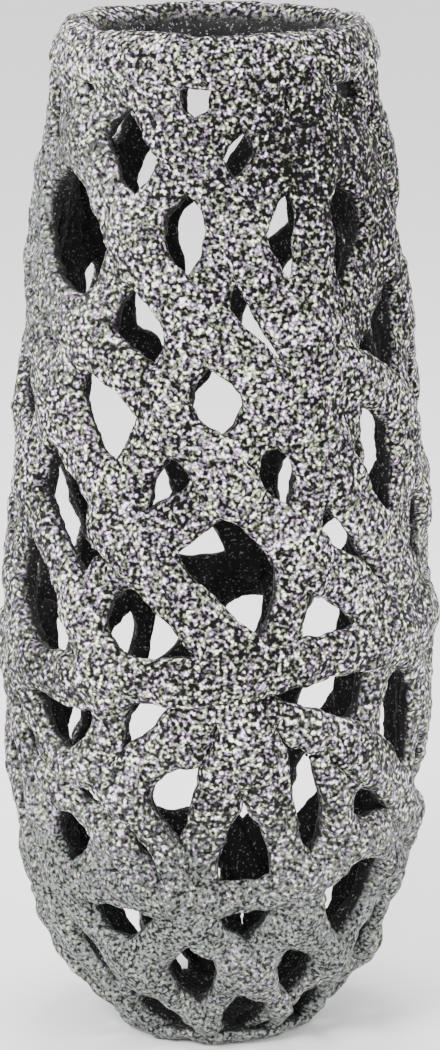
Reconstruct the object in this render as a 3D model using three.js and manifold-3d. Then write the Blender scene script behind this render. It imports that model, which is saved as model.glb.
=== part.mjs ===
// Openwork vase of black clay: a tall egg-shaped lattice of flat clay straps on a round foot,
// with two hoops round it, a plain collar and a thick rolled rim. Millimetres, +Z up, and the
// origin is the middle of the foot. Angles are degrees round the axis: 0 is the front (-Y) and
// they grow towards +X.
//
// The wall is laid in layers, as the potter lays it. The inner straps rise to the right and the
// outer straps cross over them, rising to the left. The hoops and one upright lie on top.
import * as THREE from 'three';
import Module from 'manifold-3d';

const wasm = await Module();
wasm.setup();

// ---- Driving dimensions ----
const HEIGHT = 400;
const BELLY_HEIGHT = 162;
const BELLY_RADIUS = 84.7;
const LOWER_DEPTH = 173;
const LOWER_POWER = 2.75;
const LOWER_ROOT = 2.03;
const SHOULDER_HEIGHT = 372;
const SHOULDER_RADIUS = 64;
const TAPER_POWER = 1.635;

const FOOT_RADIUS = 30;
const FOOT_THICKNESS = 6;
const COLLAR_BOTTOM = 380.5;
const COLLAR_RADIUS = 61;
const RIM_BOTTOM = 389;
const RIM_RADIUS = 60.4;
const MOUTH_RADIUS = 48.4;

const JOINT_GAP = 0.4;
const STRAP_STEP = 15;
const CROWN = 0.9;
const LATHE_SIDES = 48;

// Depth of each layer of straps, from the outline of the wall, inner face first
const INNER_LAYER = [-11.6, -6.4];
const OUTER_LAYER = [-5.7, -0.5];
const TOP_LAYER = [0.2, 3];

// ---- Materials: one black clay, darker inside the wall ----
const CLAY = { color: 0x34343a, roughness: 0.62, metalness: 0 };
const DARK_CLAY = { color: 0x25252a, roughness: 0.75, metalness: 0 };

// ---- Routes of the straps: [degrees, height, width] at each turn, width where it changes ----
const INNER_UPPER = [
  { width: 17, route: [[-84, 156], [-79, 190], [-71, 222, 20], [-59, 256, 21], [-43, 291], [-29, 322],
    [-20, 341], [-11, 355], [1, 367], [15, 386]] },
  { width: 18, route: [[-35, 206], [-27, 228], [-18, 254], [-12, 276], [-4, 303], [5, 328],
    [11, 338], [18, 349], [30, 363], [42, 386]] },
  { width: 18, route: [[-42, 155, 13], [-41, 170, 13], [-39, 184, 14], [-33, 196, 18], [-25, 207],
    [-16, 216], [-7, 225], [2, 236], [10, 251], [18, 263], [29, 277], [54, 302, 27],
    [70, 328, 22], [84, 356, 17], [100, 386]] },
  { width: 15, route: [[12, 154], [20, 186], [23, 205], [27, 225], [36, 250, 24], [41, 280, 26]] },
  { width: 17, route: [[40, 150], [52, 172], [63, 200], [69, 235, 20], [75, 266, 21], [87, 310, 22],
    [101, 350], [113, 386]] },
  { width: 17, route: [[78, 160], [92, 225], [104, 265], [119, 310], [144, 386]] },
  { width: 15, route: [[96, 156], [104, 200], [113, 240], [127, 266], [138, 292], [145, 316],
    [155, 344], [172, 386]] },
  { width: 14, route: [[120, 156], [128, 184], [136, 208], [144, 231], [152, 255], [161, 278],
    [171, 302], [180, 322], [189, 338], [199, 356], [214, 386]] },
  { width: 13, route: [[154, 156], [162, 180], [165, 200], [166, 220], [167, 240], [172, 255],
    [182, 268], [194, 281], [200, 299, 20], [209, 314, 18], [221, 330], [232, 352],
    [248, 386]] },
  { width: 13, route: [[168, 156], [172, 175], [180, 194, 16], [189, 207, 19], [195, 225, 15],
    [199, 240], [203, 256, 19], [213, 268], [216, 288], [224, 308], [239, 335], [258, 386]] },
  { width: 16, route: [[190, 154], [201, 168], [212, 182, 18], [222, 200, 20], [229, 218], [233, 240],
    [236, 265], [240, 290], [250, 330], [264, 386]] },
  { width: 17, route: [[228, 154], [240, 180], [249, 210], [254, 255], [259, 290], [266, 322],
    [280, 345], [302, 361], [328, 386]] },
];

const OUTER_UPPER = [
  { width: 17, route: [[11, 386, 20], [17, 369, 19], [24, 357, 18], [34, 356, 24], [45, 361, 36],
    [56, 355, 36], [67, 329, 20], [81, 296], [94, 272], [104, 248, 15],
    [113, 226, 13], [125, 203, 13], [134, 178, 13], [142, 156, 13]] },
  { width: 17, route: [[-31, 386, 20], [-20, 369, 20], [-11, 359], [-3, 346], [4, 333], [10, 319],
    [16, 305], [22, 293], [30, 282], [38, 275], [48, 271], [59, 263, 19], [80, 232, 26], [103, 190, 20],
    [130, 154]] },
  { width: 19, route: [[-74, 386], [-46, 349], [-35, 334], [-26, 321], [-17, 308], [-5, 295],
    [5, 284], [15, 270], [30, 245, 22], [40, 228, 21], [58, 197, 21], [88, 154]] },
  { width: 18, route: [[-104, 386], [-87, 341], [-75, 313], [-61, 299], [-44, 289], [-31, 278],
    [-21, 269], [-13, 258], [-4, 246], [5, 234, 20], [13, 222], [28, 203, 20], [47, 185, 20], [70, 156]] },
  { width: 18, route: [[-130, 386], [-103, 343], [-76, 291], [-64, 274, 21], [-54, 262, 22],
    [-45, 248, 22], [-37, 236], [-30, 223], [-23, 210, 20], [-8, 188, 22], [16, 156]] },
  { width: 16, route: [[-172, 386], [-158, 364], [-146, 341], [-134, 317], [-118, 292],
    [-95, 262], [-75, 238, 22], [-60, 214, 18], [-51, 203], [-44, 191], [-38, 178], [-30, 154]] },
  { width: 15, route: [[156, 386], [170, 366], [183, 345], [197, 321, 19], [214, 295], [226, 263, 19],
    [242, 240], [258, 212], [281, 183], [300, 154]] },
  { width: 15, route: [[136, 386], [158, 350], [171, 330, 20], [172, 308], [177, 281, 20], [185, 258, 20],
    [198, 232], [214, 190], [230, 154]] },
  { width: 15, route: [[108, 386], [131, 340], [142, 303], [147, 277], [156, 250], [163, 223, 18],
    [179, 206], [193, 186], [210, 154]] },
  { width: 15, route: [[64, 386, 17], [82, 352, 17], [104, 326], [117, 308], [127, 285], [134, 258],
    [138, 232], [143, 203, 18], [154, 186], [166, 170], [178, 154]] },
  { width: 11, route: [[138, 328], [150, 309], [160, 299], [172, 288]] },
];

const INNER_LOWER = [
  { width: 15, route: [[-54, 2, 7], [-46, 15, 8], [-37, 30, 11], [-23, 45, 16], [-11, 60, 18],
    [-5, 90, 17], [1, 115, 19], [5, 132, 20], [13, 170, 16]] },
  { width: 13, route: [[-15, 2, 7], [-4, 13, 9], [9, 33, 14], [18, 49, 15], [26, 64, 15], [33, 82, 12],
    [36, 95, 10], [39, 109, 11], [46, 135, 16], [51, 152, 18], [58, 180, 15]] },
  { width: 12, route: [[18, 2, 7], [34, 16, 8], [45, 30, 10], [57, 51, 13], [67, 78, 14], [74, 108, 16],
    [79, 142, 17], [85, 184, 15]] },
  { width: 13, route: [[64, 2, 7], [82, 22, 9], [99, 60], [106, 95], [120, 182]] },
  { width: 13, route: [[92, 2, 9], [109, 28], [123, 60], [132, 95], [134, 125], [134, 155],
    [138, 182]] },
  { width: 12, route: [[118, 2, 9], [134, 24], [148, 44], [159, 66], [164, 90], [163, 115],
    [160, 145], [162, 180]] },
  { width: 12, route: [[140, 2, 9], [154, 20], [168, 40], [180, 64], [181, 90], [182, 115],
    [184, 145], [186, 178]] },
  { width: 12, route: [[162, 2, 9], [178, 18], [194, 38], [205, 58], [212, 80], [216, 100],
    [211, 118, 10], [204, 134, 9], [203, 155], [206, 178]] },
  { width: 13, route: [[182, 2, 9], [198, 20], [214, 40], [225, 54], [233, 70], [240, 88],
    [243, 108], [243, 130], [244, 150], [246, 178]] },
  { width: 11, route: [[208, 56], [217, 84], [221, 105], [222, 128], [224, 150], [226, 178]] },
  { width: 13, route: [[220, 2, 9], [238, 28], [253, 60], [266, 95], [286, 168]] },
  { width: 13, route: [[252, 2, 7], [266, 26], [280, 58], [295, 88], [308, 108], [319, 122],
    [328, 135, 15], [328, 168, 15]] },
  { width: 14, route: [[-96, 2, 7], [-86, 16, 8], [-74, 34, 10], [-59, 56, 13], [-37, 84],
    [-30, 98, 12], [-26, 118, 18], [-17, 130, 17], [-8, 138, 23], [12, 166, 23]] },
];

const OUTER_LOWER = [
  { width: 12, route: [[2, 2, 7], [-11, 14, 9], [-22, 27, 12], [-32, 37, 13], [-50, 60], [-58, 91],
    [-69, 122], [-88, 170]] },
  { width: 12, route: [[42, 2, 7], [28, 18, 9], [18, 30, 13], [8, 42, 14], [-7, 62, 14], [-11, 78],
    [-15, 92], [-21, 104], [-26, 111], [-33, 118, 11], [-40, 120, 10], [-47, 120, 11],
    [-54, 126], [-64, 146], [-75, 170]] },
  { width: 15, route: [[72, 2, 7], [58, 16, 8], [44, 39, 11], [28, 59], [23, 80], [18, 100],
    [14.5, 114, 20], [12, 128, 23], [7, 145, 19], [3, 170, 17]] },
  { width: 15, route: [[137, 2, 7], [115, 38, 12], [92, 68], [70, 97, 17], [50, 119, 19],
    [40, 129, 19], [30, 137, 17], [20, 142, 16], [6, 149]] },
  { width: 11, route: [[104, 2, 7], [86, 24, 9], [74, 55], [66, 74], [55, 87], [44, 92], [36, 97],
    [34, 108], [33, 120], [29, 135]] },
  { width: 11, route: [[-9, 66], [-20, 79], [-26, 88], [-33, 98], [-41, 104], [-49, 109],
    [-60, 115]] },
  { width: 14, route: [[170, 2, 7], [146, 42, 12], [121, 78], [95, 109], [75, 140], [54, 182]] },
  { width: 12, route: [[152, 34], [147, 56, 15], [139, 76, 15], [129, 88], [117, 94],
    [104, 105], [92, 130], [81, 178]] },
  { width: 11, route: [[192, 2, 9], [178, 24], [169, 44], [163, 66], [159, 84], [152, 98],
    [142, 109], [132, 125], [120, 145], [108, 178]] },
  { width: 12, route: [[218, 2, 9], [204, 28], [192, 46], [180, 68], [171, 88], [162, 108],
    [153, 127], [140, 138], [130, 152], [120, 178]] },
  { width: 12, route: [[252, 2, 9], [238, 30], [225, 50], [213, 68], [203, 83, 15], [191, 98],
    [180, 114], [169, 127], [160, 145], [152, 176]] },
  { width: 12, route: [[272, 2, 9], [254, 42], [236, 78], [224, 97], [214, 110], [202, 118],
    [190, 128], [183, 146], [174, 175]] },
  { width: 13, route: [[298, 2, 7], [276, 40], [255, 78], [233, 118], [220, 140], [209, 158],
    [204, 176]] },
  { width: 12, route: [[-34, 2, 7], [-47, 17, 8], [-60, 43], [-72, 75], [-87, 110],
    [-116, 170]] },
];

const UPRIGHT = { width: 15, route: [[29, 250], [30, 270, 19], [31, 300, 21], [32, 330, 17], [34, 386]] };

const BELT = { width: 18, route: [[-80, 159], [-56, 156], [-42, 155, 22], [-22, 159], [0, 160],
  [16, 163], [32, 167], [57, 169, 22], [90, 172], [140, 167], [172, 163], [210, 161], [250, 161]] };
const LOWER_HOOP = { width: 14, route: [[-60, 72], [-20, 72], [10, 72], [27, 78], [45, 90],
  [70, 93], [110, 78], [140, 60], [165, 48, 19], [185, 54, 18],
  [205, 57, 18], [230, 58], [262, 67]] };

// ---- The wall's outline ----
function wallRadius(z) {
  if (z < BELLY_HEIGHT) {
    const depth = Math.max(BELLY_HEIGHT - z, 0) / LOWER_DEPTH;
    return BELLY_RADIUS * (1 - depth ** LOWER_POWER) ** (1 / LOWER_ROOT);
  }
  const rise = (z - BELLY_HEIGHT) / (SHOULDER_HEIGHT - BELLY_HEIGHT);
  return BELLY_RADIUS - (BELLY_RADIUS - SHOULDER_RADIUS) * rise ** TAPER_POWER;
}

function wallSlope(z) {
  return (wallRadius(z + 0.5) - wallRadius(z - 0.5));
}

// A point on the wall, moved out of it by offset along the wall's normal
function wallPoint(degrees, z, offset) {
  const slope = wallSlope(z);
  const length = Math.hypot(1, slope);
  const radius = wallRadius(z) + offset / length;
  const angle = THREE.MathUtils.degToRad(degrees);
  return [radius * Math.sin(angle), -radius * Math.cos(angle), z - offset * slope / length];
}

// ---- Straps ----
// Section of a strap, as [fraction of the half width, depth]: square inside, crowned outside
function strapSection([inner, outer], grow) {
  return [
    [-1, inner - grow],
    [0, inner - grow],
    [1, inner - grow],
    [1, outer - CROWN + grow],
    [0, outer + grow],
    [-1, outer - CROWN + grow],
  ];
}

// Points across the strap at one station of its route, seen along the route
function stationPoints(here, along, section, grow) {
  const radius = wallRadius(here.y);
  const meridian = Math.hypot(1, wallSlope(here.y));
  const arc = THREE.MathUtils.degToRad(along.x) * radius;
  const climb = along.y * meridian;
  const length = Math.hypot(arc, climb);
  return section.map(([side, depth]) => {
    const shift = side * (here.z / 2 + grow);
    const degrees = here.x + THREE.MathUtils.radToDeg(-shift * climb / length / radius);
    const z = here.y + shift * arc / length / meridian;
    return wallPoint(degrees, z, depth);
  });
}

// A strap of clay laid along a route in one layer of the wall, as a solid.
// grow makes it thicker all round, to cut clearance in its neighbours.
function layStrap({ width, route }, layer, { closed = false, grow = 0 } = {}) {
  const turns = route.map(([degrees, z, w = width]) => new THREE.Vector3(degrees, z, w));
  if (closed) {
    const [degrees, z, w = width] = route[0];
    turns.push(new THREE.Vector3(degrees + 360, z, w));
  }
  const curve = new THREE.CatmullRomCurve3(turns, false, 'centripetal');
  const steps = Math.ceil(curve.getLength() * 1.25 / STRAP_STEP);
  const section = strapSection(layer, grow);
  const sides = section.length;
  const points = [];
  for (let i = 0; i < (closed ? steps : steps + 1); i += 1) {
    const along = curve.getTangentAt(i / steps);
    const here = curve.getPointAt(i / steps);
    if (i === 0) {
      here.addScaledVector(along, -grow);
    }
    if (i === steps) {
      here.addScaledVector(along, grow);
    }
    points.push(...stationPoints(here, along, section, grow));
  }
  const triangles = [];
  for (let i = 0; i < steps; i += 1) {
    const a = i * sides;
    const b = (closed && i === steps - 1) ? 0 : a + sides;
    for (let j = 0; j < sides; j += 1) {
      const k = (j + 1) % sides;
      triangles.push([a + j, a + k, b + j], [b + j, a + k, b + k]);
    }
  }
  if (!closed) {
    const end = steps * sides;
    for (const [p, q, r] of [[0, 1, 5], [1, 4, 5], [1, 2, 4], [2, 3, 4]]) {
      triangles.push([p, r, q], [end + p, end + q, end + r]);
    }
  }
  return makeSolid(points, triangles);
}

function makeSolid(points, triangles) {
  const mesh = new wasm.Mesh({
    numProp: 3,
    vertProperties: new Float32Array(points.flat()),
    triVerts: new Uint32Array(triangles.flat()),
  });
  return new wasm.Manifold(mesh);
}

// Height of the belt's middle line at an angle, read from its route
function routeHeight({ route }, degrees) {
  const first = route[0];
  const turns = [...route, [first[0] + 360, first[1]]];
  const angle = first[0] + THREE.MathUtils.euclideanModulo(degrees - first[0], 360);
  const next = turns.findIndex(([turn]) => turn > angle);
  const [a, b] = [turns[next - 1], turns[next]];
  return THREE.MathUtils.mapLinear(angle, a[0], b[0], a[1], b[1]);
}

// A thick ring between two heights, which trims the ends of the straps
function zoneRing(lowAt, highAt) {
  const sides = 72;
  const [near, far] = [5, 120];
  const points = [];
  const triangles = [];
  for (let i = 0; i < sides; i += 1) {
    const degrees = i * 360 / sides;
    const angle = THREE.MathUtils.degToRad(degrees);
    const [x, y] = [Math.sin(angle), -Math.cos(angle)];
    points.push([near * x, near * y, lowAt(degrees)], [far * x, far * y, lowAt(degrees)]);
    points.push([far * x, far * y, highAt(degrees)], [near * x, near * y, highAt(degrees)]);
    const a = i * 4;
    const b = ((i + 1) % sides) * 4;
    for (let j = 0; j < 4; j += 1) {
      const k = (j + 1) % 4;
      triangles.push([a + j, b + j, a + k], [b + j, b + k, a + k]);
    }
  }
  return makeSolid(points, triangles);
}

// ---- Meshes ----
const vase = new THREE.Group();

function addMesh(name, geometry, look) {
  const mesh = new THREE.Mesh(geometry, new THREE.MeshStandardMaterial(look));
  mesh.name = name;
  vase.add(mesh);
}

function solidGeometry(solid) {
  const { vertProperties, triVerts, numProp } = solid.getMesh();
  const geometry = new THREE.BufferGeometry();
  geometry.setAttribute('position', new THREE.BufferAttribute(vertProperties, numProp));
  geometry.setIndex(new THREE.BufferAttribute(triVerts, 1));
  return geometry;
}

// Straps of one layer, laid in order: a later strap stops against the earlier ones
function layLattice(name, straps, layer, zone, look) {
  const laid = [];
  straps.forEach((strap, i) => {
    let solid = layStrap(strap, layer).intersect(zone);
    for (const earlier of laid) {
      solid = solid.subtract(earlier);
    }
    const pieces = solid.decompose().sort((a, b) => b.volume() - a.volume());
    addMesh(`${name}_${String(i + 1).padStart(2, '0')}`, solidGeometry(pieces[0]), look);
    laid.push(layStrap(strap, layer, { grow: JOINT_GAP }));
  });
}

function turned(profile) {
  return new THREE.LatheGeometry(profile.map(([r, z]) => new THREE.Vector2(r, z)), LATHE_SIDES);
}

// ---- Foot: a round pad of clay ----
function addFoot() {
  const profile = [[0, 0], [FOOT_RADIUS, 0]];
  for (const z of [1, 2.5, 4, FOOT_THICKNESS]) {
    profile.push([wallRadius(z), z]);
  }
  profile.push([0, FOOT_THICKNESS]);
  const foot = turned(profile);
  foot.rotateX(Math.PI / 2);
  addMesh('foot', foot, CLAY);
}

// ---- Collar: plain ring that ties the tops of the straps ----
function addCollar() {
  const wall = COLLAR_RADIUS - MOUTH_RADIUS;
  const top = RIM_BOTTOM - JOINT_GAP;
  const profile = [
    [MOUTH_RADIUS + 1, COLLAR_BOTTOM + 1],
    [MOUTH_RADIUS + 2, COLLAR_BOTTOM],
    [COLLAR_RADIUS - 1, COLLAR_BOTTOM],
    [COLLAR_RADIUS, COLLAR_BOTTOM + wall / 4],
    [RIM_RADIUS, top],
    [MOUTH_RADIUS, top],
    [MOUTH_RADIUS + 1, COLLAR_BOTTOM + 1],
  ];
  const collar = turned(profile);
  collar.rotateX(Math.PI / 2);
  addMesh('collar', collar, CLAY);
}

// ---- Rim: thick roll of clay with a flat underside ----
function addRim() {
  const middle = (RIM_RADIUS + MOUTH_RADIUS) / 2;
  const half = (RIM_RADIUS - MOUTH_RADIUS) / 2;
  const shoulder = 4.5;
  const profile = [[MOUTH_RADIUS, RIM_BOTTOM], [RIM_RADIUS, RIM_BOTTOM]];
  const arcSteps = 8;
  for (let i = 0; i <= arcSteps; i += 1) {
    const angle = Math.PI * i / arcSteps;
    const z = RIM_BOTTOM + shoulder + (HEIGHT - RIM_BOTTOM - shoulder) * Math.sin(angle);
    profile.push([middle + half * Math.cos(angle), z]);
  }
  profile.push([MOUTH_RADIUS, RIM_BOTTOM]);
  const rim = turned(profile);
  rim.rotateX(Math.PI / 2);
  addMesh('rolled_rim', rim, CLAY);
}

const beltLine = (degrees) => routeHeight(BELT, degrees);
const strapFoot = FOOT_THICKNESS + JOINT_GAP;
const strapTop = COLLAR_BOTTOM - JOINT_GAP;
const lowerZone = zoneRing(() => strapFoot, (degrees) => beltLine(degrees) - JOINT_GAP / 2);
const upperZone = zoneRing((degrees) => beltLine(degrees) + JOINT_GAP / 2, () => strapTop);

addFoot();
layLattice('inner_strap_lower', INNER_LOWER, INNER_LAYER, lowerZone, DARK_CLAY);
layLattice('outer_strap_lower', OUTER_LOWER, OUTER_LAYER, lowerZone, CLAY);
layLattice('inner_strap_upper', INNER_UPPER, INNER_LAYER, upperZone, DARK_CLAY);
layLattice('outer_strap_upper', OUTER_UPPER, OUTER_LAYER, upperZone, CLAY);
addMesh('upright', solidGeometry(layStrap(UPRIGHT, TOP_LAYER).intersect(upperZone)), CLAY);
addMesh('belt_hoop', solidGeometry(layStrap(BELT, TOP_LAYER, { closed: true })), CLAY);
addMesh('lower_hoop', solidGeometry(layStrap(LOWER_HOOP, TOP_LAYER, { closed: true })), CLAY);
addCollar();
addRim();

export default vase;
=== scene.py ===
import itertools
import math

import bmesh
import bpy
import numpy as np
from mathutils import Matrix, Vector
from mathutils.bvhtree import BVHTree


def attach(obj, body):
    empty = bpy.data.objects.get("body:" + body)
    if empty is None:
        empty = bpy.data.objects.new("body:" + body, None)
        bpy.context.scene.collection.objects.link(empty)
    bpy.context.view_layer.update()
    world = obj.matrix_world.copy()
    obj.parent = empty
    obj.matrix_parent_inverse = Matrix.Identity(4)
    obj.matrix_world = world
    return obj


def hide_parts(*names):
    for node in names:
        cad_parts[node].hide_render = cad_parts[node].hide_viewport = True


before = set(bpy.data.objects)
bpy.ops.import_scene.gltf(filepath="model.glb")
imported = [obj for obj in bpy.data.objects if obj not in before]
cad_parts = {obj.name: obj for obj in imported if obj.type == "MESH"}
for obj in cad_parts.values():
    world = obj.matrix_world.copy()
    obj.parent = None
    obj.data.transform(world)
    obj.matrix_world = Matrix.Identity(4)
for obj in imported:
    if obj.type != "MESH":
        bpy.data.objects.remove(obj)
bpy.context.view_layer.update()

MM = 0.001
VOXEL = 1.5 * MM          # size of the remesh
WELD = 0.01 * MM          # points nearer than this are one point

# ---- The wall's outline, as in the CAD ----
BELLY_HEIGHT = 162 * MM
BELLY_RADIUS = 84.7 * MM
LOWER_DEPTH = 173 * MM
LOWER_POWER = 2.75
LOWER_ROOT = 2.03
LOWER_LIMIT = 0.999       # share of the lower depth that is used, so that no radius is 0
SHOULDER_HEIGHT = 372 * MM
SHOULDER_RADIUS = 64 * MM
TAPER_POWER = 1.635


def wall_radius(z):
    """Radius of the wall's outside at the heights z."""
    depth = np.clip(BELLY_HEIGHT - z, 0, LOWER_DEPTH * LOWER_LIMIT) / LOWER_DEPTH
    lower = BELLY_RADIUS * (1 - depth ** LOWER_POWER) ** (1 / LOWER_ROOT)
    rise = np.clip((z - BELLY_HEIGHT) / (SHOULDER_HEIGHT - BELLY_HEIGHT), 0, None)
    upper = BELLY_RADIUS - (BELLY_RADIUS - SHOULDER_RADIUS) * rise ** TAPER_POWER
    return np.where(z < BELLY_HEIGHT, lower, upper)


def wall_frame(points):
    """Outward normal of the wall at each point, and the point's height over the outline."""
    step = 0.5 * MM
    slope = (wall_radius(points[:, 2] + step) - wall_radius(points[:, 2] - step)) / (2 * step)
    length = np.hypot(1, slope)
    radius = np.hypot(points[:, 0], points[:, 1])
    over = (radius - wall_radius(points[:, 2])) / length
    out = np.stack([points[:, 0] / radius, points[:, 1] / radius, -slope], 1)
    return out / length[:, None], over


# ---- Noise ----
def smooth_noise(points, size, seed):
    """Smooth noise from -1 to 1, with lumps about size across."""
    q = points / size
    cell = np.floor(q).astype(np.int64)
    f = q - cell
    u = f * f * f * (f * (f * 6 - 15) + 10)        # eases from 0 to 1 across the cell
    total = np.zeros(len(points))
    for corner in itertools.product((0, 1), repeat=3):
        c = cell + np.array(corner)
        # h is a fixed scramble of the corner's place and the seed
        h = c[:, 0] * 73856093 ^ c[:, 1] * 19349663 ^ c[:, 2] * 83492791 ^ seed * 2654435761
        h = (h ^ (h >> 13)) * 1274126177 & 0x7FFFFFFF
        h = (h ^ (h >> 15)) * 2246822519 & 0x7FFFFFFF
        share = np.prod(np.where(np.array(corner), u, 1 - u), axis=1)
        total += (h / 0x3FFFFFFF - 1) * share
    return total


# ---- Mesh helpers ----
def mesh_points(mesh):
    co = np.empty(len(mesh.vertices) * 3, np.float32)
    mesh.vertices.foreach_get("co", co)
    return co.reshape(-1, 3).astype(float)


def set_points(mesh, points):
    mesh.vertices.foreach_set("co", points.astype(np.float32).ravel())
    mesh.update()


def mesh_normals(mesh):
    normals = np.empty(len(mesh.vertices) * 3, np.float32)
    mesh.vertices.foreach_get("normal", normals)
    return normals.reshape(-1, 3).astype(float)


def relax(mesh, rounds):
    """Moves every vertex half of the way to the mean of its neighbours, in each round."""
    edges = np.empty(len(mesh.edges) * 2, np.int32)
    mesh.edges.foreach_get("vertices", edges)
    a, b = edges.reshape(-1, 2).T
    count = len(mesh.vertices)
    degree = np.bincount(a, minlength=count) + np.bincount(b, minlength=count)
    points = mesh_points(mesh)
    for _ in range(rounds):
        total = np.stack([
            np.bincount(a, points[b, i], count) + np.bincount(b, points[a, i], count)
            for i in range(3)
        ], 1)
        points += 0.5 * (total / degree[:, None] - points)
    set_points(mesh, points)


# ---- Pressing and tucking ----
# The faces of each layer, in millimetres out from the outline: inner and outer face in the CAD, then
# inner and outer face in the clay
LAYERS = {
    "inner_strap": (-11.6, -6.4, -11.6, -3.2),
    "outer_strap": (-5.7, -0.5, -8.6, -0.3),
    "upright": (0.2, 3.0, -5.0, 1.6),
    "belt_hoop": (0.2, 3.0, -6.0, 1.4),
    "lower_hoop": (0.2, 3.0, -6.0, 0.3),
}
FOOT_TOP = 6 * MM         # height of the foot, beside which the straps start
STRAP_BOTTOM = 3 * MM     # how low they reach once tucked in
COLLAR_BOTTOM = 380.5 * MM
RIM_BOTTOM = 389 * MM
REACH_IN = 1.5 * MM       # how near an end has to be to the next piece to be tucked into it
RIM_REACH = 1 * MM        # the same for the bottom of the rim
TUCK = 5 * MM             # how far the clay of one piece reaches into the next
ROUNDED_HEIGHT = 10 * MM  # the bottom is drawn in below this height
FOOT_ROUNDING = 0.87      # share of the radius that is left at the very bottom


def pressed(name, points):
    """The node's points with its layer pressed into the one under it, and its ends tucked in."""
    points = points.copy()
    for start, (cad_in, cad_out, clay_in, clay_out) in LAYERS.items():
        if name.startswith(start):
            out, over = wall_frame(points)
            moved = np.interp(over / MM, [cad_in, cad_out], [clay_in, clay_out]) * MM
            points += out * (moved - over)[:, None]
    z = points[:, 2]
    if "strap" in name or name == "upright":
        down = np.where(z < FOOT_TOP + REACH_IN, STRAP_BOTTOM, z)
        tucked = np.where(z > COLLAR_BOTTOM - REACH_IN, z + TUCK, down)
        shrink = (wall_radius(tucked) - wall_radius(z)) / np.hypot(points[:, 0], points[:, 1])
        points[:, :2] *= 1 + shrink[:, None]
        points[:, 2] = tucked
    points[:, :2] *= np.interp(points[:, 2], [0, ROUNDED_HEIGHT], [FOOT_ROUNDING, 1])[:, None]
    if name == "rolled_rim":
        points[:, 2] = np.where(z < RIM_BOTTOM + RIM_REACH, z - TUCK, z)
    return points


def core_mesh(name, node):
    """The node's own mesh, pressed into place. The luting of the other pieces is measured to it."""
    mesh = node.data.copy()
    bm = bmesh.new()
    bm.from_mesh(mesh)
    bmesh.ops.remove_doubles(bm, verts=bm.verts, dist=WELD)
    bm.to_mesh(mesh)
    bm.free()
    set_points(mesh, pressed(name, mesh_points(mesh)))
    return mesh


def remeshed(name, core):
    """An even fine mesh of the core."""
    source = bpy.data.objects.new(name + "_core", core)
    bpy.context.scene.collection.objects.link(source)
    modifier = source.modifiers.new("remesh", "REMESH")
    modifier.mode = "VOXEL"
    modifier.voxel_size = VOXEL
    graph = bpy.context.evaluated_depsgraph_get()
    mesh = bpy.data.meshes.new_from_object(source.evaluated_get(graph))
    bpy.data.objects.remove(source)
    mesh.name = name
    return mesh


# ---- Luting ----
FILLET = 10 * MM          # how near to a neighbour the clay starts to rise
LOW_FILLET = 17 * MM      # near the foot, where more slip was smeared into the crossings
LOW_BAND = [35, 95]       # millimetres up: all low fillet under the first, none over the second
FRONT_BAND = [18, 34]     # the same for the front: no low fillet under the first, all over the second


def fillet_sizes(points):
    """The size of the fillet at each point, wider low down except low at the front."""
    height = points[:, 2] / MM
    low = np.interp(height, LOW_BAND, [1, 0])
    clean = np.where(points[:, 1] < 0, np.interp(height, FRONT_BAND, [1, 0]), 0)
    return FILLET + (LOW_FILLET - FILLET) * low * (1 - clean)


def lute(mesh, others):
    """Raises the clay near the other pieces, so that it flows into them in a fillet."""
    points = mesh_points(mesh)
    normals = mesh_normals(mesh)
    moved = points.copy()
    for i, (point, fillet) in enumerate(zip(points, fillet_sizes(points))):
        hit, facing, _, gap = others.find_nearest(Vector(point), fillet)
        if hit is None:
            continue
        away = Vector(point) - hit
        # Inside the neighbour the rise dies away. Outside, it leans the way the neighbour's face looks.
        if away.dot(facing) < 0:
            rise = fillet / 4 * max(0, 1 - 2 * gap / fillet)
            moved[i] += normals[i] * rise
            continue
        rise = (fillet - gap) ** 2 / (4 * fillet)
        lean = 0.5 - 0.5 * gap / fillet
        side = np.array(away) / gap if gap > WELD else np.array(facing)
        way = (1 - lean) * normals[i] + lean * side
        moved[i] += way / max(np.linalg.norm(way), 0.5) * rise
    set_points(mesh, moved)


# ---- Surface ----
# Height in millimetres, size in millimetres and seed
LUMPS = [(0.9, 24, 1), (1.0, 9, 2), (0.7, 3.8, 3)]


def roughen(mesh):
    """Lumps left by the hands and by the coarse clay."""
    points = mesh_points(mesh)
    normals = mesh_normals(mesh)
    rise = sum(height * smooth_noise(points, size * MM, seed) for height, size, seed in LUMPS) * MM
    points += normals * rise[:, None]
    points[:, 2] = np.maximum(points[:, 2], 0)
    set_points(mesh, points)


def store(mesh, name, values):
    """Keeps a value for each vertex, for the material to read."""
    attribute = mesh.attributes.new(name, "FLOAT", "POINT")
    attribute.data.foreach_set("value", values.astype(np.float32))


# The painted shade inside the vase and in the deep recesses is full at the first number of each pair
# and fades out to the second
INNER_SHADE_DEPTH = [-8.5, -4.0]         # millimetres out from the outline
INNER_SHADE_TURN = [-0.3, 0.4]           # how far a face turns outwards, from -1 to 1
INNER_SHADE_TURN_DEPTH = [-5, -1]        # how deep those faces are, in millimetres out from the outline
INNER_SHADE_MOUTH = [388, 401]           # millimetres up the mouth
INNER_SHADE_ON_RIM = 0.15                # the share that is left at the top of the mouth


def add_soot(mesh):
    """How far each point is down inside the wall, as painted shade: 0 on the outside, 1 inside the
    vase.
    """
    points = mesh_points(mesh)
    normals = mesh_normals(mesh)
    out, over = wall_frame(points)
    depth = np.interp(over / MM, INNER_SHADE_DEPTH, [1, 0])
    turned_in = np.interp((normals * out).sum(1), INNER_SHADE_TURN, [1, 0])
    turned_in *= np.interp(over / MM, INNER_SHADE_TURN_DEPTH, [1, 0])
    soot = np.clip(np.maximum(depth, turned_in), 0, 1)
    # the painted shade thins out towards the top of the mouth
    soot *= np.interp(points[:, 2] / MM, INNER_SHADE_MOUTH, [1, INNER_SHADE_ON_RIM])
    store(mesh, "soot", soot)
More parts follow.
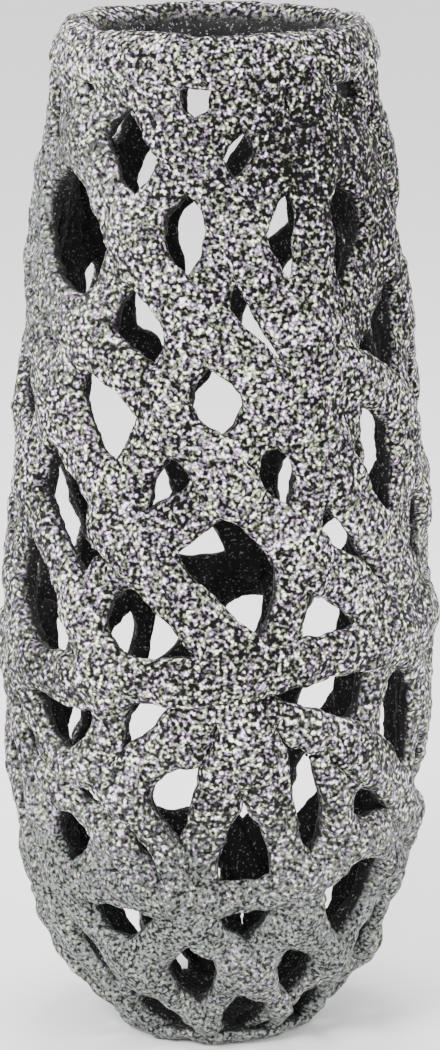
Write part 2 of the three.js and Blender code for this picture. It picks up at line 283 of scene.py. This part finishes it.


# Where painted shade makes the outside darker: turn in degrees from the front, height and reach in
# millimetres, and strength
PAINTED_SHADE_SPOTS = [
    (50, 352, 50, 1.2),
    (24, 372, 34, 0.5),
    (2, 165, 36, 0.25),
    (4, 88, 45, 0.5),
    (150, 320, 60, 0.6),
    (-140, 200, 60, 0.4),
    (170, 80, 55, 0.5),
]
# Where painted reflection makes the outside greyer and smoother, in the same way
PAINTED_REFLECTION_SPOTS = [
    (-68, 350, 36, 0.9),
    (-72, 300, 36, 0.6),
    (-60, 50, 55, 0.9),
    (0, 20, 50, 0.6),
    (62, 60, 60, 0.4),
    (-90, 150, 60, 0.4),
    (90, 170, 60, 0.2),
    (180, 30, 60, 0.7),
    (-165, 330, 50, 0.5),
    (120, 140, 50, 0.5),
]
HOLLOW_SHADE = 0.35       # painted shade added in the hollows between the straps
HOLLOW_DEPTH = [-6, -1.5]         # all of it at the first depth in millimetres, none at the second
MOST_OUTER_SHADE = 1.2
LOW_REFLECTION = 0.95          # painted reflection added round the lower bowl
LOW_REFLECTION_BAND = [25, 105]        # all of it at the first height in millimetres, none at the second


def patchwork(points, spots):
    """Soft spots round the wall, 0 away from them."""
    total = np.zeros(len(points))
    for turn, height, reach, strength in spots:
        angle = math.radians(turn)
        side = BELLY_RADIUS * math.sin(angle)
        centre = np.array([side, -BELLY_RADIUS * math.cos(angle), height * MM])
        gap = np.linalg.norm(points - centre, axis=1) / (reach * MM)
        total += strength * np.exp(-gap ** 2)
    return np.clip(total, 0, 1)


def add_painted_shade_and_reflection(mesh):
    """Painted shade and painted reflection on the outside, with more painted shade in the hollows
    between the straps.
    """
    points = mesh_points(mesh)
    _, over = wall_frame(points)
    # painted shade in the hollows between the straps
    hollow = HOLLOW_SHADE * np.interp(over / MM, HOLLOW_DEPTH, [1, 0])
    store(mesh, "painted_outer_shade", np.clip(patchwork(points, PAINTED_SHADE_SPOTS) + hollow, 0, MOST_OUTER_SHADE))
    # painted reflection round the lower bowl
    low = LOW_REFLECTION * np.interp(points[:, 2] / MM, LOW_REFLECTION_BAND, [1, 0])
    store(mesh, "painted_reflection", np.clip(patchwork(points, PAINTED_REFLECTION_SPOTS) + low, 0, 1))


# ---- Materials ----
# Colours from the dark pits to the pale grains, whose white end is painted glints as well as pale clay:
# value of the grain, then red, green and blue
GRAIN_AND_GLINTS = [
    (0.38, 0.001, 0.001, 0.001),
    (0.45, 0.045, 0.045, 0.045),
    (0.505, 0.15, 0.15, 0.15),
    (0.56, 0.29, 0.29, 0.29),
    (0.64, 1.0, 1.0, 1.0),
]
# The same where painted reflection covers the grain: pale clay with dark pits
PAINTED_REFLECTION_GRAIN = [
    (0.39, 0.008, 0.008, 0.008),
    (0.44, 0.048, 0.052, 0.049),
    (0.49, 0.103, 0.113, 0.106),
    (0.56, 0.150, 0.166, 0.155),
    (0.66, 0.25, 0.265, 0.25),
]
PURPLE_TINT = (0.94, 0.77, 1.0)
OLIVE_TINT = (0.92, 1.0, 0.74)
# painted shade inside the vase and in the deep recesses, and the dim specks on it
PAINTED_INNER_SHADE = (0.011, 0.011, 0.0115)
PAINTED_INNER_SHADE_SPECK = (0.16, 0.16, 0.165)
OUTER_SHADE_DROP = 0.07         # how far full painted shade lowers the grain

# Scales of the patterns, in repeats a metre: pebbles and noise of the coarse grain and of the grain
# under painted reflection
COARSE = (620, 580)
FINE = (760, 690)
TINT_SCALE = 300
REFLECTION_BREAKUP_SCALE = 60
PATCH_SCALE = 30
SPECK_SCALE = 900

# The grain is a mix of pebbles and noise, with 0.5 in the middle
MIDDLE = 0.5
PEBBLE_LEVEL = 0.83       # how far from a pebble's middle it adds nothing
PEBBLE_SHARE = 0.26
NOISE_SHARE = 0.8
PATCH_SHARE = 0.12        # how much the grain changes from patch to patch
RAGGED_SHARE = 0.6        # how much the grain frays the edge of the painted inner shade

# Where each pattern starts and is full
TINT_BAND = (0.42, 0.58)
REFLECTION_BREAKUP_BAND = (0.35, 0.62)
SPECK_BAND = (0.62, 0.71)
INNER_SHADE_BAND = (0.3, 0.75)
CRYSTAL_BAND = (0.42, 0.6)
LEAST_REFLECTION = 0.6          # the share of the painted reflection that is left where its breakup noise is lowest

PIT_ROUGHNESS = 0.8
CRYSTAL_ROUGHNESS = 0.45
SPECULAR = 0.1
SHEEN = 0.05
SHEEN_ROUGHNESS = 0.4
BUMP_STRENGTH = 0.6
BUMP_HEIGHT = 0.5 * MM

# Indices of the colour sockets of a Mix node
MIX_A = 6
MIX_B = 7
MIX_RESULT = 2


def clay_material(name):
    """Black clay: pale tinted grain with painted glints outside, painted shade and painted reflection
    in places, and painted shade with specks inside.
    """
    material = bpy.data.materials.new(name)
    material.use_nodes = True
    nodes = material.node_tree.nodes
    links = material.node_tree.links
    shader = nodes["Principled BSDF"]
    place = nodes.new("ShaderNodeTexCoord").outputs["Object"]

    def noise(scale, detail=1.0, roughness=0.5):
        node = nodes.new("ShaderNodeTexNoise")
        node.inputs["Scale"].default_value = scale
        node.inputs["Detail"].default_value = detail
        node.inputs["Roughness"].default_value = roughness
        links.new(place, node.inputs["Vector"])
        return node.outputs["Fac"]

    def attribute(name):
        node = nodes.new("ShaderNodeAttribute")
        node.attribute_name = name
        return node.outputs["Fac"]

    def shades(value, stops):
        node = nodes.new("ShaderNodeValToRGB")
        links.new(value, node.inputs["Fac"])
        elements = node.color_ramp.elements
        while len(elements) < len(stops):
            elements.new(0.5)     # moved into place below
        for element, (position, red, green, blue) in zip(elements, stops):
            element.position = position
            element.color = (red, green, blue, 1)
        return node.outputs["Color"]

    def ramp(value, low, high, start=0.0, end=1.0):
        node = nodes.new("ShaderNodeMapRange")
        node.interpolation_type = "SMOOTHSTEP"
        limits = {"From Min": low, "From Max": high, "To Min": start, "To Max": end}
        for socket, number in limits.items():
            node.inputs[socket].default_value = number
        links.new(value, node.inputs["Value"])
        return node.outputs["Result"]

    def maths(operation, a, b):
        node = nodes.new("ShaderNodeMath")
        node.operation = operation
        for socket, value in zip(node.inputs, (a, b)):
            if isinstance(value, (int, float)):
                socket.default_value = value
            else:
                links.new(value, socket)
        return node.outputs["Value"]

    def mix(factor, a, b, blend="MIX"):
        node = nodes.new("ShaderNodeMix")
        node.data_type = "RGBA"
        node.blend_type = blend
        if isinstance(factor, (int, float)):
            node.inputs["Factor"].default_value = factor
        else:
            links.new(factor, node.inputs["Factor"])
        for index, value in ((MIX_A, a), (MIX_B, b)):
            if isinstance(value, tuple):
                node.inputs[index].default_value = (*value, 1)
            else:
                links.new(value, node.inputs[index])
        return node.outputs[MIX_RESULT]

    def grit(pebble_scale, noise_scale):
        pebbles = nodes.new("ShaderNodeTexVoronoi")
        pebbles.inputs["Scale"].default_value = pebble_scale
        links.new(place, pebbles.inputs["Vector"])
        raised = maths("SUBTRACT", PEBBLE_LEVEL, pebbles.outputs["Distance"])
        cloudy = maths("MULTIPLY", noise(noise_scale, roughness=0.6), NOISE_SHARE)
        return maths("ADD", cloudy, maths("MULTIPLY", raised, PEBBLE_SHARE))

    # The outside: tinted grain, lowered by painted shade and covered in places with painted reflection
    grain = grit(*COARSE)
    uneven = maths("SUBTRACT", noise(PATCH_SCALE, detail=2.0), MIDDLE)
    patches = maths("MULTIPLY", uneven, PATCH_SHARE)
    painted_outer_shade = maths("MULTIPLY", attribute("painted_outer_shade"), OUTER_SHADE_DROP)
    grain_less_painted_shade = maths("SUBTRACT", maths("ADD", grain, patches), painted_outer_shade)
    hue = mix(ramp(noise(TINT_SCALE), *TINT_BAND), PURPLE_TINT, OLIVE_TINT)
    tinted = mix(1, shades(grain_less_painted_shade, GRAIN_AND_GLINTS), hue, "MULTIPLY")
    reflection_breakup = ramp(noise(REFLECTION_BREAKUP_SCALE, detail=2.0), *REFLECTION_BREAKUP_BAND, LEAST_REFLECTION, 1.0)
    painted_reflection_mask = maths("MULTIPLY", attribute("painted_reflection"), reflection_breakup)
    outside = mix(painted_reflection_mask, tinted, shades(grit(*FINE), PAINTED_REFLECTION_GRAIN))

    # The inside: painted shade with small specks, with a ragged edge
    inside = mix(ramp(noise(SPECK_SCALE), *SPECK_BAND), PAINTED_INNER_SHADE, PAINTED_INNER_SHADE_SPECK)
    ragged = maths("MULTIPLY", maths("SUBTRACT", grain, MIDDLE), RAGGED_SHARE)
    inner_shade_mask = ramp(maths("ADD", attribute("soot"), ragged), *INNER_SHADE_BAND)
    links.new(mix(inner_shade_mask, outside, inside), shader.inputs["Base Color"])

    # The rubbed crystals shine a little more than the pits
    crystals = ramp(grain_less_painted_shade, *CRYSTAL_BAND)
    roughness = ramp(crystals, 0, 1, PIT_ROUGHNESS, CRYSTAL_ROUGHNESS)
    links.new(roughness, shader.inputs["Roughness"])
    shader.inputs["Specular IOR Level"].default_value = SPECULAR
    shader.inputs["Sheen Weight"].default_value = SHEEN
    shader.inputs["Sheen Roughness"].default_value = SHEEN_ROUGHNESS

    bump = nodes.new("ShaderNodeBump")
    bump.inputs["Strength"].default_value = BUMP_STRENGTH
    bump.inputs["Distance"].default_value = BUMP_HEIGHT
    links.new(grain_less_painted_shade, bump.inputs["Height"])
    links.new(bump.outputs["Normal"], shader.inputs["Normal"])
    return material


# ---- The pieces ----
CORE_ROUNDS = 6           # rounds of relaxing before and after the luting
FILLET_ROUNDS = 3
clays = {slot: clay_material(slot) for slot in ("black_clay", "black_clay_inner")}
cores = {name: core_mesh(name, node) for name, node in sorted(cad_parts.items())}
boxes = {name: (mesh_points(core).min(0), mesh_points(core).max(0)) for name, core in cores.items()}


def near(a, b):
    """Whether the boxes round the two pieces come within a fillet of each other."""
    (low_a, high_a), (low_b, high_b) = boxes[a], boxes[b]
    return np.all(low_a - LOW_FILLET < high_b) and np.all(low_b - LOW_FILLET < high_a)


def neighbours(name):
    """All the pieces that this one may touch, as one search tree."""
    points = []
    faces = []
    for other in cores:
        if other != name and near(name, other):
            base = len(points)
            points.extend(v.co for v in cores[other].vertices)
            faces.extend([base + i for i in p.vertices] for p in cores[other].polygons)
    return BVHTree.FromPolygons(points, faces)


for name, core in cores.items():
    mesh = remeshed(name, core)
    relax(mesh, CORE_ROUNDS)
    lute(mesh, neighbours(name))
    relax(mesh, FILLET_ROUNDS)
    roughen(mesh)
    add_soot(mesh)
    add_painted_shade_and_reflection(mesh)
    mesh.polygons.foreach_set("use_smooth", [True] * len(mesh.polygons))
    piece = bpy.data.objects.new(name + "_clay", mesh)
    bpy.context.scene.collection.objects.link(piece)
    slot = "black_clay_inner" if name.startswith("inner") else "black_clay"
    mesh.materials.clear()
    mesh.materials.append(clays[slot])
    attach(piece, "root")
    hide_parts(name)


# ---- Stage ----
FLOOR_REACH = 20
FLOOR_COLOUR = (0.93, 0.93, 0.93)
FLOOR_ROUGHNESS = 0.9
WORLD_STRENGTH = 1.5
MIDDLE_OF_VASE = (0, 0, 0.2)
# Place, size across and watts of each softbox
SOFTBOXES = {
    "key": ((-1.1, -1.6, 1.5), 0.9, 85),
    "fill": ((1.4, -1.3, 0.9), 1.0, 22),
    "top": ((0, 0.3, 1.9), 0.8, 30),
}


def plain(name, colour, roughness):
    material = bpy.data.materials.new(name)
    material.use_nodes = True
    shader = material.node_tree.nodes["Principled BSDF"]
    shader.inputs["Base Color"].default_value = (*colour, 1)
    shader.inputs["Roughness"].default_value = roughness
    return material


sides = [(-1, -1), (1, -1), (1, 1), (-1, 1)]
corners = [(x * FLOOR_REACH, y * FLOOR_REACH, 0) for x, y in sides]
floor_mesh = bpy.data.meshes.new("floor")
floor_mesh.from_pydata(corners, [], [(0, 1, 2, 3)])
floor_mesh.materials.append(plain("floor_pale", FLOOR_COLOUR, FLOOR_ROUGHNESS))
floor = bpy.data.objects.new("floor", floor_mesh)
bpy.context.scene.collection.objects.link(floor)


def aimed(place):
    """The turn that points a lamp or a camera at the middle of the vase."""
    return (Vector(MIDDLE_OF_VASE) - Vector(place)).to_track_quat("-Z", "Y").to_euler()


def softbox(name, place, size, watts):
    light = bpy.data.lights.new(name, "AREA")
    light.shape = "DISK"
    light.size = size
    light.energy = watts
    lamp = bpy.data.objects.new(name, light)
    lamp.location = place
    lamp.rotation_euler = aimed(place)
    bpy.context.scene.collection.objects.link(lamp)


for name, (place, size, watts) in SOFTBOXES.items():
    softbox(name, place, size, watts)

world = bpy.data.worlds.new("studio")
world.use_nodes = True
world.node_tree.nodes["Background"].inputs["Color"].default_value = (1, 1, 1, 1)
world.node_tree.nodes["Background"].inputs["Strength"].default_value = WORLD_STRENGTH
bpy.context.scene.world = world

# ---- Camera ----
CAMERA_PLACE = (0, -1.7, 0.5937)
LENS = 153.3              # millimetres, on a sensor of SENSOR_WIDTH
SENSOR_WIDTH = 36
SHIFT = (1 / 350, 1 / 250)        # shares of the picture's longer side

camera_data = bpy.data.cameras.new("camera")
camera_data.lens = LENS
camera_data.sensor_width = SENSOR_WIDTH
camera_data.shift_x, camera_data.shift_y = SHIFT
camera = bpy.data.objects.new("camera", camera_data)
camera.location = CAMERA_PLACE
camera.rotation_euler = aimed(CAMERA_PLACE)
bpy.context.scene.collection.objects.link(camera)
bpy.context.scene.camera = camera
